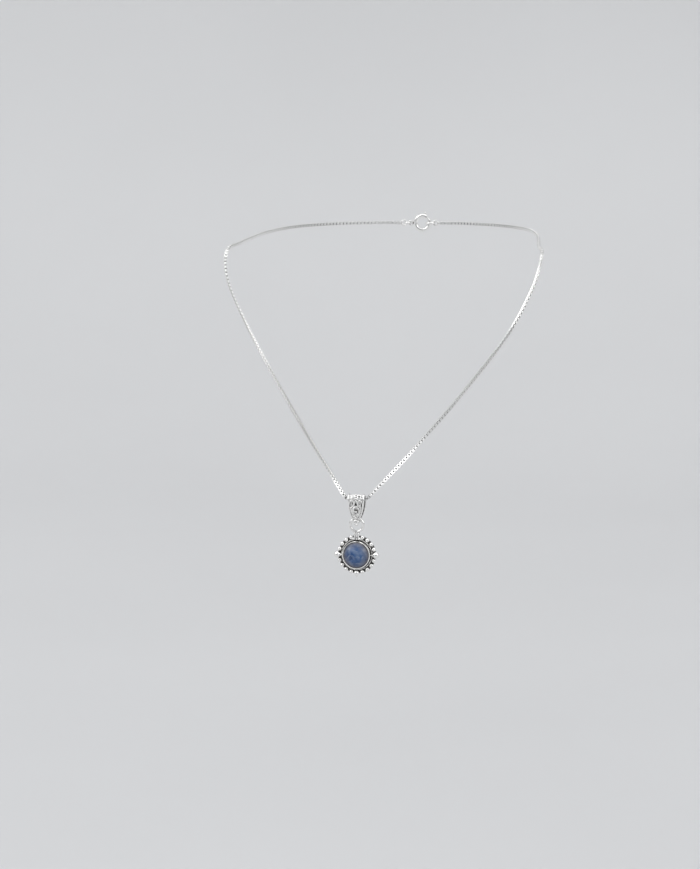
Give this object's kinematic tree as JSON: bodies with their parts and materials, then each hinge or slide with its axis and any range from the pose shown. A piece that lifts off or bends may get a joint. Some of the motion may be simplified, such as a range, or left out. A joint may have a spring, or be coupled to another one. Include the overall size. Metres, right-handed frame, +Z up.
{
  "type": "pendant necklace",
  "caption": "Pendant necklace: fine box chain, tapered openwork bail, drop ring and a round bezel-set blue stone ringed with granules; spring ring clasp",
  "frame": {"origin": "The middle of the neck loop, level with where the chain crosses the shoulders.", "axes": "+Z up along the neck, -Y to the front where the pendant hangs, +X to the left-hand side of the person wearing it."},
  "size_m": [0.1028, 0.1185, 0.1067],
  "materials": {
    "silver": "polished",
    "oxidised_silver": "satin",
    "spring_wire": "satin",
    "stone": "polished"
  },
  "bodies": {
    "necklace": {"chain": "silver", "end_link_left": "silver", "end_link_right": "silver"},
    "bail": {"bail_shell": "silver", "bail_rail_left": "silver", "bail_rail_right": "silver", "bail_curl_left": "silver", "bail_curl_right": "silver", "bail_scroll": "silver", "bail_web": "silver", "bail_rosette": "oxidised_silver", "bail_granule": "silver", "bail_circlet": "silver"},
    "drop": {"drop_ring": "silver", "drop_neck": "silver", "back_plate": "oxidised_silver", "bezel_wall": "silver", "bearing_ring": "oxidised_silver", "stone": "stone", "rope_wire": "silver", "granule_01": "silver", "granule_02": "silver", "granule_03": "silver", "granule_04": "silver", "granule_05": "silver", "granule_06": "silver", "granule_07": "silver", "granule_08": "silver", "granule_09": "silver", "granule_10": "silver", "granule_11": "silver", "granule_12": "silver", "granule_13": "silver", "granule_14": "silver", "granule_15": "silver", "granule_16": "silver", "cardinal_right": "silver", "cardinal_bottom": "silver", "cardinal_left": "silver"},
    "clasp": {"clasp_body": "silver", "clasp_eye": "silver", "clasp_spring": "spring_wire", "clasp_stop": "silver"},
    "bolt": {"clasp_bolt": "silver"},
    "link": {"link_ring": "silver"},
    "catch": {"catch_ring": "silver"}
  },
  "joints": [
    {"name": "bail_swing", "type": "hinge", "parent": "necklace", "child": "bail", "pos_m": [0, -0.05, -0.074], "axis": [1, 0, 0], "range_deg": [-75, 75]},
    {"name": "drop_swing", "type": "hinge", "parent": "bail", "child": "drop", "pos_m": [0, -0.05, -0.0797], "axis": [1, 0, 0], "range_deg": [-35, 35]},
    {"name": "clasp_roll", "type": "hinge", "parent": "necklace", "child": "clasp", "pos_m": [0, 0.0635, 0.005], "axis": [1, 0, 0], "range_deg": [-40, 40]},
    {"name": "link_roll", "type": "hinge", "parent": "necklace", "child": "link", "pos_m": [0, 0.0635, 0.005], "axis": [1, 0, 0], "range_deg": [-20, 20]},
    {"name": "catch_roll", "type": "hinge", "parent": "necklace", "child": "catch", "pos_m": [0, 0.0635, 0.005], "axis": [1, 0, 0], "range_deg": [-20, 20]},
    {"name": "bolt_slide", "type": "hinge", "parent": "clasp", "child": "bolt", "pos_m": [0.00095, 0.0635, 0.005], "axis": [0, -1, 0], "range_deg": [0, 45], "stiffness_Nm_per_rad": 0.00005, "springref_deg": -17.19, "deforming": ["clasp_spring"]}
  ],
  "couplings": [
    {"joint": "link_roll", "follows": "clasp_roll", "ratio": 0.5},
    {"joint": "catch_roll", "follows": "clasp_roll", "ratio": 0.5}
  ]
}
